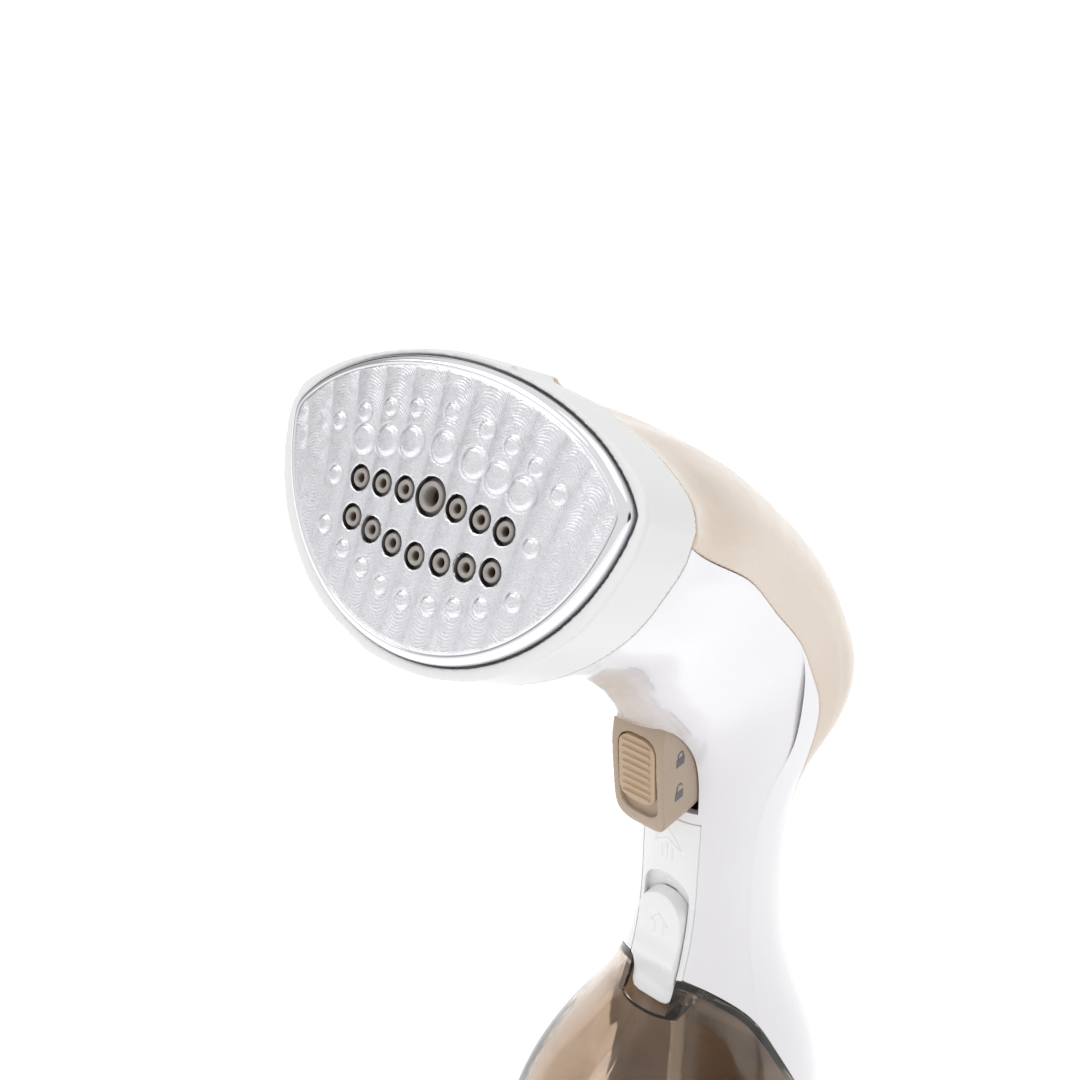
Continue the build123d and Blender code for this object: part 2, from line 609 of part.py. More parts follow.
def hose(*route):
    """A silicone hose along straight runs with round bends, open at both ends."""
    with BuildPart() as piece:
        with BuildLine() as line:
            FilletPolyline(*route, radius=8)
        with BuildSketch(line.wire() ^ 0):
            Circle(3.4)
            Circle(2.4, mode=Mode.SUBTRACT)
        sweep()
    return piece.part


socket_exit = [(0, SPIGOT_Y, 127), (0, SPIGOT_Y, 145)]
pump_inlet = [(-5, PUMP_Y, 125), (-5, PUMP_Y, PUMP_TOP + 0.5)]
save(hose(*socket_exit, *pump_inlet), "feed_hose")
pump_outlet = [(5, PUMP_Y, PUMP_TOP + 0.5), (5, PUMP_Y, 124), (8, 24, 146), (8, 24, 218)]
save(hose(*pump_outlet, plate_point(0, 10, 74.6), plate_point(0, 10, 24)), "pump_hose")

with BuildPart() as control_board:
    add(block(-11, 11, 31, 32.6, 150, 198))
    add([block(-8, 4, 32.6, 40, 155, 170), block(-9, -1, 32.6, 38, 176, 186), block(2, 9, 32.6, 36, 178, 194)])
save(control_board.part, "control_board")
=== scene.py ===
"""Looks of the garment steamer: materials for the CAD nodes, and detailed pieces where CAD is too plain."""

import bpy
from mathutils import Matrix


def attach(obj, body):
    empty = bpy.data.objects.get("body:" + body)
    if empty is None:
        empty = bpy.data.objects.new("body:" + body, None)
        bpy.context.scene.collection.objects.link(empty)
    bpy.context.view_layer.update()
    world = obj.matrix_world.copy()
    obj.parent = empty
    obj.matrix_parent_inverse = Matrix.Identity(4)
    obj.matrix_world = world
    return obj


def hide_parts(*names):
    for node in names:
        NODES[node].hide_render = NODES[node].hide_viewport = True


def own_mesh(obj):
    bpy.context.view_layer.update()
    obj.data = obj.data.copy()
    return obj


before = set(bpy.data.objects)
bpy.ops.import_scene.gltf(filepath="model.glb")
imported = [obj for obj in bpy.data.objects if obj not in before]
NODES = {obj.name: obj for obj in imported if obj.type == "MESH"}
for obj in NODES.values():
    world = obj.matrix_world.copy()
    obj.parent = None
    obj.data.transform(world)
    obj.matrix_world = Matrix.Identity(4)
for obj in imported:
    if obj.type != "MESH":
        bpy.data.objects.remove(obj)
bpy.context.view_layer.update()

from math import cos, pi, radians, sin, sqrt

import bmesh
import bpy
import numpy as np
from mathutils import Matrix, Vector
from mathutils.bvhtree import BVHTree
from mathutils.geometry import delaunay_2d_cdt

MM = 0.001
SCENE = bpy.context.scene

# the plate's face: lengths are in nozzle radii, PITCH is that radius in mm
PITCH = 2.7
FLUTE_PITCH = 2.36  # from flute to flute at the bottom
FLUTE_SPREAD = 0.0028  # how fast the flutes fan out above FLUTE_FOOT
FLUTE_FOOT = -7.0


# ---------------------------------------------------------------- camera
camera_data = bpy.data.cameras.new("camera")
camera_data.sensor_width = 36.0
camera_data.lens = 40.63
camera_data.clip_start = 0.01
camera = bpy.data.objects.new("camera", camera_data)
camera.location = (0.1569, -0.2503, 0.4047)
camera.rotation_euler = (radians(64.3), 0, radians(40.6))
SCENE.collection.objects.link(camera)
SCENE.camera = camera
SCENE.view_settings.view_transform = "Standard"


# ---------------------------------------------------------------- shader helpers
class Shader:
    """A material's node tree, with short ways to write its maths."""

    def __init__(self, name):
        self.material = bpy.data.materials.new(name)
        self.material.use_nodes = True
        self.tree = self.material.node_tree
        self.surface = self.tree.nodes["Principled BSDF"]
        self.place = self.node("ShaderNodeTexCoord").outputs["Object"]

    def node(self, kind, **settings):
        made = self.tree.nodes.new(kind)
        for key, value in settings.items():
            setattr(made, key, value)
        return made

    def feed(self, socket, value):
        if isinstance(value, bpy.types.NodeSocket):
            self.tree.links.new(value, socket)
        else:
            socket.default_value = value

    def math(self, operation, *values):
        made = self.node("ShaderNodeMath", operation=operation)
        for socket, value in zip(made.inputs, values):
            self.feed(socket, value)
        return made.outputs[0]

    def noise(self, scale, detail=2.0, vector=None, distortion=0.0):
        made = self.node("ShaderNodeTexNoise")
        self.feed(made.inputs["Vector"], vector or self.place)
        made.inputs["Scale"].default_value = scale
        made.inputs["Detail"].default_value = detail
        made.inputs["Distortion"].default_value = distortion
        return made.outputs["Fac"]

    def span(self, value, low, high, to_low=0.0, to_high=1.0):
        made = self.node("ShaderNodeMapRange")
        for socket, number in zip(made.inputs, (value, low, high, to_low, to_high)):
            self.feed(socket, number)
        return made.outputs[0]

    def blend(self, factor, first, second):
        made = self.node("ShaderNodeMix", data_type="RGBA")
        self.feed(made.inputs["Factor"], factor)
        for socket, colour in ((made.inputs[6], first), (made.inputs[7], second)):
            self.feed(socket, (*colour, 1.0) if isinstance(colour, tuple) else colour)
        return made.outputs[2]

    def bump(self, height, strength, distance, under=None):
        made = self.node("ShaderNodeBump")
        made.inputs["Strength"].default_value = strength
        made.inputs["Distance"].default_value = distance
        self.feed(made.inputs["Height"], height)
        if under:
            self.feed(made.inputs["Normal"], under)
        return made.outputs["Normal"]

    def set(self, **values):
        for key, value in values.items():
            self.feed(self.surface.inputs[key.replace("_", " ")], value)


def linear(red, green, blue):
    """A linear colour from 0 to 255 display values."""
    return tuple(((v / 255 + 0.055) / 1.055) ** 2.4 for v in (red, green, blue))


def moulded(name, colour, rough, grain=0.0, coat=0.0, mottle=0.03, metallic=0.0, flow=9.0, swing=0.05):
    """Moulded plastic, rubber or plain metal: faint flow marks, fine grain and uneven gloss."""
    shader = Shader(name)
    soft = shader.noise(flow, 3)
    dark = tuple(v * (1 - mottle) for v in colour)
    bright = tuple(min(v * (1 + mottle), 1) for v in colour)
    shader.set(Base_Color=shader.blend(shader.span(soft, 0.3, 0.7), dark, bright))
    worn = shader.noise(160, 4)
    shader.set(Roughness=shader.span(worn, 0.3, 0.7, max(rough - swing, 0.02), rough + swing))
    ripple = shader.bump(shader.noise(45, 1), 0.12, 0.0002)
    if grain:
        ripple = shader.bump(shader.noise(2600, 3), grain, 0.00006, ripple)
    shader.set(Normal=ripple, Metallic=metallic, Coat_Weight=coat, Coat_Roughness=0.04)
    return shader.material


def milled_aluminium():
    """The plate's face: nested arcs that the cutter leaves along each column, with a fine sparkle over them, and
    painted shade that darkens its colour in the low flute valleys and the grooves round the bumps.
    """
    shader = Shader("milled_aluminium")
    split = shader.node("ShaderNodeSeparateXYZ")
    shader.feed(split.inputs[0], shader.place)
    wobble = shader.math("MULTIPLY", shader.math("SUBTRACT", shader.noise(260, 3), 0.5), 0.0011)
    across, up = (shader.math("DIVIDE", split.outputs[i], PITCH * MM) for i in (0, 1))
    above = shader.math("MAXIMUM", shader.math("ADD", up, -FLUTE_FOOT), 0.0)
    spread = shader.math("MULTIPLY", shader.math("POWER", above, 2.0), FLUTE_SPREAD)
    pitch = shader.math("ADD", spread, FLUTE_PITCH)
    column = shader.math("DIVIDE", across, pitch)
    local = shader.math("SUBTRACT", column, shader.math("ROUND", column))
    arch = shader.math("SQRT", shader.math("SUBTRACT", 0.30, shader.math("POWER", local, 2.0)))
    arch = shader.math("MULTIPLY", arch, 0.0078)
    upper = shader.math("ADD", shader.math("SUBTRACT", split.outputs[1], arch), wobble)
    lower = shader.math("ADD", shader.math("ADD", split.outputs[1], arch), wobble)
    side = shader.span(up, -3.0, 0.5)
    marks = []
    for run, spacing in ((upper, 9500.0), (lower, 8700.0)):
        marks.append(shader.math("SINE", shader.math("MULTIPLY", run, spacing)))
    keep = shader.math("SUBTRACT", 1.0, side)
    arcs = shader.math("ADD", shader.math("MULTIPLY", marks[0], side), shader.math("MULTIPLY", marks[1], keep))
    ends = shader.span(shader.math("ABSOLUTE", shader.math("SUBTRACT", up, -0.6)), 3.0, 7.0, 0.10, 1.0)
    flanks = shader.span(shader.math("ABSOLUTE", across), 9.0, 12.5, 0.0, 1.0)
    strength = shader.math("MAXIMUM", ends, flanks)
    patches = shader.span(shader.noise(420, 2), 0.35, 0.6)
    faded = shader.math("MULTIPLY", arcs, shader.math("MULTIPLY", strength, patches))
    sparkle = shader.noise(3400, 4, distortion=1.5)
    normal = shader.bump(shader.noise(900, 3, distortion=2.5), 0.16, 0.00014)
    normal = shader.bump(faded, 0.5, 0.000045, normal)
    normal = shader.bump(sparkle, 0.34, 0.00009, normal)
    tint = shader.span(shader.math("ADD", sparkle, shader.math("MULTIPLY", faded, 0.12)), 0.3, 0.7)
    # painted shade: the face's colour is darkened where it lies low, in the flute valleys and the grooves round the
    # bumps
    lift = shader.span(split.outputs[2], -0.00024, 0.00000, 0.45, 1.0)
    tint = shader.math("MULTIPLY", tint, lift)
    shader.set(
        Base_Color=shader.blend(tint, linear(212, 212, 218), linear(250, 250, 253)),
        Metallic=1.0,
        Roughness=shader.span(shader.noise(700, 3), 0.3, 0.7, 0.24, 0.4),
        Normal=normal,
    )
    return shader.material


def polished(name, colour, rough):
    """Polished metal with faint hairlines."""
    shader = Shader(name)
    hair = shader.noise(1800, 4, distortion=0.4)
    shader.set(Metallic=1.0, Roughness=shader.span(hair, 0.3, 0.7, rough, rough + 0.05))
    shader.set(Base_Color=shader.blend(hair, tuple(v * 0.94 for v in colour), colour))
    shader.set(Normal=shader.bump(hair, 0.05, 0.00003))
    return shader.material


def smoked():
    """Clear smoke-brown plastic, a little denser in places."""
    shader = Shader("smoked_plastic")
    cloud = shader.noise(26, 3, distortion=1.2)
    density = shader.span(cloud, 0.3, 0.7)
    shader.set(Base_Color=shader.blend(density, linear(212, 196, 180), linear(226, 212, 197)))
    shader.set(Transmission_Weight=1.0, IOR=1.46)
    shader.set(Roughness=shader.span(shader.noise(90, 2), 0.3, 0.7, 0.03, 0.09))
    shader.set(Normal=shader.bump(shader.noise(60, 2), 0.25, 0.0004))
    return shader.material


WHITE_GLOSS = moulded("white_gloss", linear(229, 227, 231), 0.13, coat=0.5, mottle=0.012)
WHITE_SATIN = moulded("white_satin", linear(232, 233, 232), 0.42, grain=0.22, mottle=0.012)
WHITE_PANEL = moulded("white_panel", linear(234, 234, 235), 0.24, grain=0.06, coat=0.2, mottle=0.01)
BEIGE = moulded("beige_gloss", linear(206, 187, 168), 0.2, coat=0.15, mottle=0.02, grain=0.03)
TAUPE = moulded("taupe_satin", linear(170, 150, 130), 0.42, grain=0.2, mottle=0.03)
TAN = moulded("tan_satin", linear(186, 160, 132), 0.42, grain=0.15, mottle=0.03)
NOZZLE = moulded("nozzle_taupe", linear(158, 152, 147), 0.2, coat=0.4, mottle=0.05)
CORE = moulded("nozzle_core", linear(128, 108, 94), 0.5, grain=0.2, mottle=0.08)
PRINT = moulded("print_grey", linear(84, 84, 88), 0.45, grain=0.2, mottle=0.08)
# painted shade: darkened metal for the walls deep in the nozzle holes, so they read as shaded
BORE_SHADE = polished("bore_painted_shade", linear(92, 90, 90), 0.35)
RIM = polished("polished_rim", linear(240, 240, 244), 0.05)
FACE = milled_aluminium()
SMOKE = smoked()
CAST = moulded("cast_aluminium", linear(170, 172, 176), 0.5, grain=0.5, metallic=1.0, mottle=0.08, flow=60)
STEEL = moulded("steel", linear(196, 198, 202), 0.28, grain=0.1, metallic=1.0, mottle=0.05, flow=80)
BRASS = moulded("brass", linear(206, 172, 104), 0.3, grain=0.1, metallic=1.0, mottle=0.06, flow=80)
GREY = moulded("grey_plastic", linear(168, 168, 170), 0.4, grain=0.2)
BLACK = moulded("black_plastic", linear(38, 38, 40), 0.42, grain=0.25, mottle=0.1)
RUBBER = moulded("rubber_grey", linear(92, 90, 88), 0.72, grain=0.5, mottle=0.08)
SILICONE = moulded("silicone_clear", linear(214, 212, 206), 0.3, grain=0.1)
BOARD = moulded("board_green", linear(44, 108, 70), 0.36, grain=0.2, mottle=0.12, flow=120)

# the CAD nodes that keep their shape
FINISH = {
    "water_tank": SMOKE, "tank_spigot": GREY, "suction_tube": SILICONE, "tube_filter": GREY, "filler_plug": RUBBER,
    "base_cover": WHITE_SATIN, "base_screws": STEEL, "rear_pad": RUBBER, "tank_pad": RUBBER, "cord_gland": GREY,
    "chamber_gasket": SILICONE, "heating_element": STEEL, "heater_block": CAST, "block_screws": STEEL,
    "inlet_nipple": BRASS, "thermostat": BLACK, "thermal_fuse": STEEL, "trigger_pin": STEEL, "trigger_frame": GREY,
    "switch_plunger": BLACK, "microswitch": BLACK, "control_board": BOARD, "dock_socket": GREY, "pump": BLACK,
    "feed_hose": SILICONE, "pump_hose": SILICONE,
}  # fmt: skip
for node_name, finish in FINISH.items():
    for material_slot in NODES[node_name].material_slots:
        material_slot.material = finish


# ---------------------------------------------------------------- pieces
def piece(name, mesh, body, replaced=(), place=None, smooth=True):
    """A new visible object that rides on a body."""
    made = bpy.data.objects.new(name, mesh)
    SCENE.collection.objects.link(made)
    if place is not None:
        made.matrix_world = place
    if smooth:
        mesh.polygons.foreach_set("use_smooth", [True] * len(mesh.polygons))
    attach(made, body)
    if replaced:
        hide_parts(*replaced)
    return made


def closed_mesh(name, made, finishes):
    """The bmesh as a mesh with these materials, its faces turned outwards."""
    bmesh.ops.recalc_face_normals(made, faces=made.faces)
    mesh = bpy.data.meshes.new(name)
    made.to_mesh(mesh)
    made.free()
    for finish in finishes:
        mesh.materials.append(finish)
    return mesh


def relaxed(mesh, weigh, rounds):
    """Evens out the mesh where weigh gives its points, as an array in mm, a weight over 0."""
    count = len(mesh.vertices)
    points = np.empty(count * 3)
    mesh.vertices.foreach_get("co", points)
    points = points.reshape(-1, 3)
    ends = np.empty(len(mesh.edges) * 2, np.int64)
    mesh.edges.foreach_get("vertices", ends)
    first, second = np.concatenate([ends[::2], ends[1::2]]), np.concatenate([ends[1::2], ends[::2]])
    degree = np.maximum(np.bincount(first, minlength=count), 1)
    weight = 0.5 * weigh(points / MM)
    for _ in range(rounds):
        for axis in range(3):
            mean = np.bincount(first, points[second, axis], count) / degree
            points[:, axis] += weight * (mean - points[:, axis])
    mesh.vertices.foreach_set("co", points.ravel())


def softened(node, finish, body, voxel, rounds, name, weigh=None):
    """The node's shape with its moulded edges rounded off, and evened out further where weigh says."""
    source = bpy.data.objects.new("source", NODES[node].data.copy())
    SCENE.collection.objects.link(source)
    weld = source.modifiers.new("weld", "WELD")
    weld.merge_threshold = 1e-6
    remesh = source.modifiers.new("remesh", "REMESH")
    remesh.mode = "VOXEL"
    remesh.voxel_size = voxel
    smoothing = source.modifiers.new("smooth", "SMOOTH")
    smoothing.factor = 0.5
    smoothing.iterations = rounds
    bpy.context.view_layer.update()
    mesh = bpy.data.meshes.new_from_object(source.evaluated_get(bpy.context.evaluated_depsgraph_get()))
    bpy.data.objects.remove(source)
    if weigh:
        relaxed(mesh, weigh, rounds=160)
    mesh.materials.clear()
    mesh.materials.append(finish)
    return piece(name, mesh, body, (node,))


def resmoothed(node, finish, body, name):
    """A welded copy of the node, smooth across its curved faces and sharp at its edges."""
    source = NODES[node].data
    made = bmesh.new()
    corners = [made.verts.new(v.co) for v in source.vertices]
    for polygon in source.polygons:
        made.faces.new([corners[i] for i in polygon.vertices])
    bmesh.ops.remove_doubles(made, verts=made.verts, dist=2e-6)
    bmesh.ops.dissolve_degenerate(made, edges=made.edges, dist=2e-6)
    mesh = bpy.data.meshes.new(name)
    made.to_mesh(mesh)
    made.free()
    mesh.materials.append(finish)
    shown = piece(name, mesh, body, (node,))
    mesh.set_sharp_from_angle(angle=radians(38))
    return shown


# ---------------------------------------------------------------- the steam plate
PLATE_TILT = radians(24.6)
UP = Vector((0, sin(PLATE_TILT), cos(PLATE_TILT)))
OUT = Vector((0, -cos(PLATE_TILT), sin(PLATE_TILT)))
PLATE = Matrix.Translation((0, -0.1, 0.31)) @ Matrix((Vector((1, 0, 0)), UP, OUT)).transposed().to_4x4()
UPPER = (47.7, 27.0)  # half axes of the ellipse above the main nozzle, in mm
LOWER = (45.3, 13.2)  # radius of the arc below it, and how far up its centre is
THICK = 5.5
RING = 480  # points round the plate
HOLE_RING = 48  # points round a nozzle's hole
TIP_ROUNDING = 1.6  # mm along the outline, each way
# spots on the right half of the plate, in nozzle radii from the main nozzle
ROW_HOLES = [(2.63, -0.16), (4.98, -0.32), (7.31, -0.50), (2.48, -4.21), (4.82, -3.86), (7.10, -3.49)]
BIG_BUMPS = [(3.17, 3.32), (5.52, 2.83), (7.89, 2.34)]
SMALL_BUMPS = [
    (3.50, 5.77), (6.06, 5.28), (8.54, 4.31), (10.96, 3.07), (9.90, -0.94), (9.70, -4.81),
    (2.49, -7.47), (4.84, -6.80), (7.13, -6.06),
]  # fmt: skip


def both_sides(points, *middle):
    """Spots mirrored across the middle, then those on it, in mm."""
    spots = [(side * x, y) for x, y in points for side in (-1, 1)] + list(middle)
    return [(x * PITCH, y * PITCH) for x, y in spots]


small_holes = both_sides(ROW_HOLES, (0, -4.44))
big_bumps = both_sides(BIG_BUMPS, (0, 3.68))
small_bumps = both_sides(SMALL_BUMPS, (0, 6.25), (0, -7.8))


def outline(inset):
    """The plate's pointed oval, drawn in by inset, as RING evenly spaced points from its top."""
    a, b = UPPER[0] - inset, UPPER[1] - inset
    radius, centre = LOWER[0] - inset, LOWER[1]
    turn = np.linspace(0, 2 * pi, 7200, endpoint=False)
    x, y = np.sin(turn), np.cos(turn)
    oval = 1 / np.sqrt((x / a) ** 2 + (np.maximum(y, 0) / b) ** 2)
    ring = centre * y + np.sqrt((centre * y) ** 2 - centre**2 + radius**2)
    reach = np.minimum(oval, ring)
    points = np.stack([x * reach, y * reach], 1)
    fine = 5 * RING
    for _ in range(2):  # each round spaces the points evenly, then rounds the two tips
        closed = np.vstack([points, points[:1]])
        walked = np.concatenate([[0], np.cumsum(np.hypot(*np.diff(closed, axis=0).T))])
        even = np.linspace(0, walked[-1], fine, endpoint=False)
        points = np.stack([np.interp(even, walked, closed[:, i]) for i in (0, 1)], 1)
        half = max(int(TIP_ROUNDING / (walked[-1] / fine)), 1)
        window = np.ones(2 * half + 1) / (2 * half + 1)
        wrapped = np.vstack([points[-half:], points, points[:half]])
        points = np.stack([np.convolve(wrapped[:, i], window, "valid") for i in (0, 1)], 1)
    return points[::5]


def relief(x, y):
    """Height of the milled face: raised bumps on shallow flutes that fan out upwards."""
    up = y / PITCH
    pitch = FLUTE_PITCH + FLUTE_SPREAD * np.maximum(up - FLUTE_FOOT, 0) ** 2
    column = x / PITCH / pitch
    flute = 0.20 * (np.abs(np.cos(pi * column)) - 0.75)
    fade = np.clip(5.0 - np.abs(column), 0, 1) * np.clip((23.0 - y) / 5, 0, 1) * np.clip((y + 29) / 5, 0, 1)
    height = flute * fade
    for spots, radius, rise in ((big_bumps, 2.9, 0.6), (small_bumps, 1.7, 0.6)):
        for bx, by in spots:
            away = np.hypot(x - bx, y - by) / radius
            dome = np.clip((1.04 - away) * 4.0, 0, 1)
            height = height + rise * dome * (2 - dome)
            height = height - 0.16 * np.exp(-(((away - 1.10) / 0.13) ** 2))
    return height


MAIN_HOLE = 1.467 * PITCH  # radius
FACE_EDGE = 2.4  # inset of the milled face
# the polished rim and the plate's side: inset and height in mm, from the face's edge outwards
RIM_PROFILE = [
    (2.3, -0.16), (2.15, -0.16), (2.0, -0.06), (1.7, -0.02), (1.35, -0.12), (1.0, -0.3),
    (0.7, -0.52), (0.45, -0.8), (0.25, -1.1), (0.1, -1.5), (0.0, -2.0), (0.0, -THICK),
]  # fmt: skip


def triangulated(loops, extra=()):
    """The points and triangles between closed loops, with extra points inside."""
    points, edges = [], []
    for loop in loops:
        first = len(points)
        points += [Vector(p) for p in loop]
        edges += [(first + i, first + (i + 1) % len(loop)) for i in range(len(loop))]
    points += [Vector(p) for p in extra]
    out, _, faces, _, _, _ = delaunay_2d_cdt(points, edges, [], 1, 1e-5)
    return out, faces


def plate_mesh():
    """The whole plate: a fine mesh over its face, the rolled rim, the holes and a flat back."""
    holes = [(x, y, PITCH) for x, y in small_holes] + [(0, 0, MAIN_HOLE)]
    step = 0.36
    loops = [outline(FACE_EDGE)]
    for x, y, radius in holes:
        turn = np.linspace(0, 2 * pi, HOLE_RING, endpoint=False)
        loops.append(np.stack([x + (radius + 0.12) * np.cos(turn), y + (radius + 0.12) * np.sin(turn)], 1))
    # a grid of points, half a step over in every other row, clear of the outline and the holes
    xs, ys = np.meshgrid(np.arange(-48, 48, step), np.arange(-34, 28, step))
    xs = xs + (np.arange(ys.shape[0]) % 2)[:, None] * step / 2
    a, b = UPPER[0] - FACE_EDGE - 0.5, UPPER[1] - FACE_EDGE - 0.5
    inside = ((xs / a) ** 2 + (np.maximum(ys, 0) / b) ** 2 < 1) & (
        np.hypot(xs, ys - LOWER[1]) < LOWER[0] - FACE_EDGE - 0.5
    )
    tip = loops[0][np.argmax(loops[0][:, 0])]
    inside &= np.abs(xs) < tip[0] - 0.6
    for x, y, radius in holes:
        inside &= np.hypot(xs - x, ys - y) > radius + 0.3
    grid = np.stack([xs[inside], ys[inside]], 1)
    out, faces = triangulated(loops, grid)
    flat = np.array([(v.x, v.y) for v in out])
    centre = np.array([flat[list(f)].mean(0) for f in faces])
    solid = np.ones(len(faces), bool)
    for x, y, radius in holes:
        solid &= np.hypot(centre[:, 0] - x, centre[:, 1] - y) > radius + 0.05
    heights = relief(flat[:, 0], flat[:, 1])
    made = bmesh.new()
    top = [made.verts.new((x * MM, y * MM, z * MM)) for (x, y), z in zip(flat, heights)]
    for face, good in zip(faces, solid):
        if good:
            made.faces.new([top[i] for i in face]).material_index = 0

    def join(first, second, index):
        for i in range(len(first)):
            j = (i + 1) % len(first)
            made.faces.new((first[i], first[j], second[j], second[i])).material_index = index

    edge = top[:RING]
    for inset, depth in RIM_PROFILE:
        lower = [made.verts.new((x * MM, y * MM, depth * MM)) for x, y in outline(inset)]
        join(edge, lower, 1)
        edge = lower
    back = [edge]
    start = RING
    for x, y, radius in holes:
        edge = top[start : start + HOLE_RING]
        start += HOLE_RING
        for depth in (-0.14, -THICK):
            lower = []
            for i in range(HOLE_RING):
                turn = 2 * pi * i / HOLE_RING
                spot = (x + radius * cos(turn), y + radius * sin(turn), depth)
                lower.append(made.verts.new([v * MM for v in spot]))
            # the deep hole walls take the darkened bore metal, painted shade
            join(edge, lower, 2 if depth == -THICK else 1)
            edge = lower
        back.append(edge)
    rear = [v for loop in back for v in loop]
    out, faces = triangulated([[(v.co.x / MM, v.co.y / MM) for v in loop] for loop in back])
    for face in faces:
        x, y = sum((out[i] for i in face), Vector((0, 0))) / 3
        if all(sqrt((x - hx) ** 2 + (y - hy) ** 2) > radius - 0.05 for hx, hy, radius in holes):
            made.faces.new([rear[i] for i in reversed(face)]).material_index = 2
    return closed_mesh("steam_plate_milled", made, (FACE, RIM, BORE_SHADE))


piece("milled_plate", plate_mesh(), "housing", ("steam_plate",), PLATE)


TURN_STEPS = 40


def turned(spots, profile, split):
    """The profile, a list of (radius, height) in mm, turned about each spot. From its row split on it is core."""
    made = bmesh.new()
    for x, y in spots:
        rings = []
        for radius, height in profile:
            ring = []
            for i in range(TURN_STEPS):
                turn = 2 * pi * i / TURN_STEPS
                spot = (x + radius * cos(turn), y + radius * sin(turn), height)
                ring.append(made.verts.new([v * MM for v in spot]))
            rings.append(ring)
        for k in range(len(rings)):
            lower = rings[(k + 1) % len(rings)]
            core = k >= split and k < len(rings) - 1
            for i in range(TURN_STEPS):
                j = (i + 1) % TURN_STEPS
                face = made.faces.new((rings[k][i], rings[k][j], lower[j], lower[i]))
                face.material_index = 1 if core else 0
    return closed_mesh("nozzles", made, (NOZZLE, CORE))


# radius and height in mm, up the outside, over the lip and down the bore
SMALL_PROFILE = [
    (2.69, -5.4), (2.69, -1.8), (2.10, -1.7), (2.08, -0.75), (2.0, -0.45), (1.83, -0.22), (1.6, -0.12), (1.35, -0.16),
    (1.12, -0.3), (0.98, -0.5), (0.92, -0.85), (0.9, -1.4), (0.9, -5.4),
]  # fmt: skip
LARGE_PROFILE = [
    (3.95, -5.4), (3.95, -1.8), (3.2, -1.7), (3.15, -0.6), (3.02, -0.25), (2.8, -0.08), (2.5, -0.02), (2.25, -0.1),
    (2.0, -0.35), (1.84, -0.8), (1.76, -1.5), (1.75, -3.0), (1.75, -5.4),
]  # fmt: skip
piece("nozzle_tips", turned(small_holes, SMALL_PROFILE, 10), "housing", ("small_nozzles",), PLATE)
piece("main_nozzle", turned([(0, 0)], LARGE_PROFILE, 11), "housing", ("centre_nozzle",), PLATE)


# ---------------------------------------------------------------- moulded pieces with rounded edges
COARSER = 1.0


def plate_depth(points):
    """How far points, in mm, are behind the plate's front face."""
    return -(points - np.array((0, -100, 310))) @ np.array(OUT)


def cover_crown(points):
    """The top cover's middle, from behind the bezel to where the handle begins."""
    depth = plate_depth(points)
    middle = np.clip((17 - np.abs(points[:, 0])) / 7, 0, 1)
    return middle * np.clip((depth - 16.8) / 1.5, 0, 1) * np.clip((150 - depth) / 30, 0, 1) * (points[:, 2] > 215)


def bezel_crown(points):
    """The bezel's middle at its top, short of its front lip and its rear edge."""
    depth = plate_depth(points)
    middle = np.clip((15 - np.abs(points[:, 0])) / 6, 0, 1)
    return middle * np.clip((15.4 - depth) / 1.0, 0, 1) * np.clip((depth - 3.5) / 1.5, 0, 1) * (points[:, 2] > 320)


softened("upper_cover", BEIGE, "housing", 0.0006 * COARSER, 5, "beige_cover", cover_crown)
resmoothed("lower_shell", WHITE_GLOSS, "housing", "white_shell")
softened("head_bezel", WHITE_SATIN, "housing", 0.00045 * COARSER, 5, "bezel_ring", bezel_crown)
softened("trigger", TAUPE, "trigger", 0.0003 * COARSER, 14, "steam_trigger")
softened("lock_slider", TAN, "slider", 0.0002 * COARSER, 3, "ribbed_slider")
panel = softened("front_panel", WHITE_PANEL, "housing", 0.0003 * COARSER, 4, "handle_panel")
latch_spring = resmoothed("latch_spring", STEEL, "housing", "latch_return_spring")
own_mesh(latch_spring)
trigger_spring = resmoothed("trigger_spring", STEEL, "housing", "trigger_return_spring")
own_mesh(trigger_spring)
latch = softened("tank_latch", WHITE_PANEL, "latch", 0.00025 * COARSER, 7, "latch_button")


# ---------------------------------------------------------------- raised symbols
# across a raised stroke: share of its half width, and rise in mm
STROKE = ((-1.0, -0.12), (-0.8, 0.06), (-0.35, 0.17), (0.35, 0.17), (0.8, 0.06), (1.0, -0.12))


